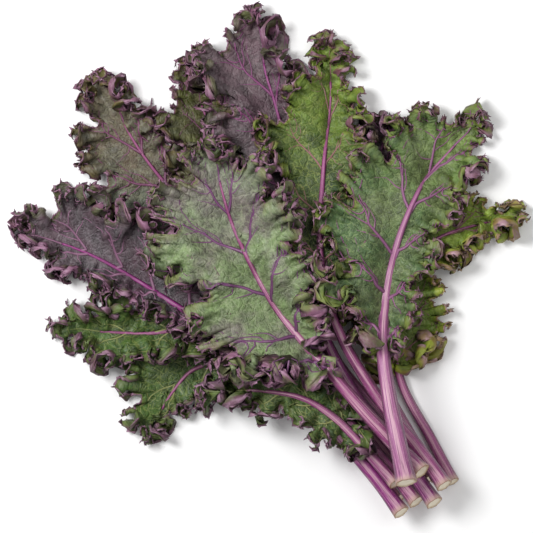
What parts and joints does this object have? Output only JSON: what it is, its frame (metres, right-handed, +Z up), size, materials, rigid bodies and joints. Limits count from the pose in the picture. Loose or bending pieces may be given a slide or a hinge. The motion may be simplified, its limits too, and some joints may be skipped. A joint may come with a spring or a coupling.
{
  "type": "kale bunch",
  "caption": "Bunch of purple curly kale lying down: long cut stalks gathered together and frilly, lobed leaves fanned out and lying over one another.",
  "frame": {"origin": "middle of the bunch, on the surface that it lies on", "axes": "+Y from the cut stalks to the leaf tips, +Z up"},
  "size_m": [0.3556, 0.4059, 0.0602],
  "materials": {
    "leaf_green": "matt and waxy, grey-green with a purple margin and magenta midrib",
    "leaf_purple": "matt and waxy, dusky purple with a magenta midrib"
  },
  "bodies": {
    "root": {"leaf_hanging": "leaf_green", "leaf_upper_left": "leaf_purple", "leaf_back_left": "leaf_green", "leaf_far_right": "leaf_green", "leaf_back_right": "leaf_purple", "leaf_lower_left": "leaf_green", "leaf_left": "leaf_purple", "leaf_low_front": "leaf_green", "leaf_top_left": "leaf_purple", "leaf_top_centre": "leaf_green", "leaf_front_left": "leaf_green", "leaf_front_right": "leaf_green"}
  },
  "joints": []
}
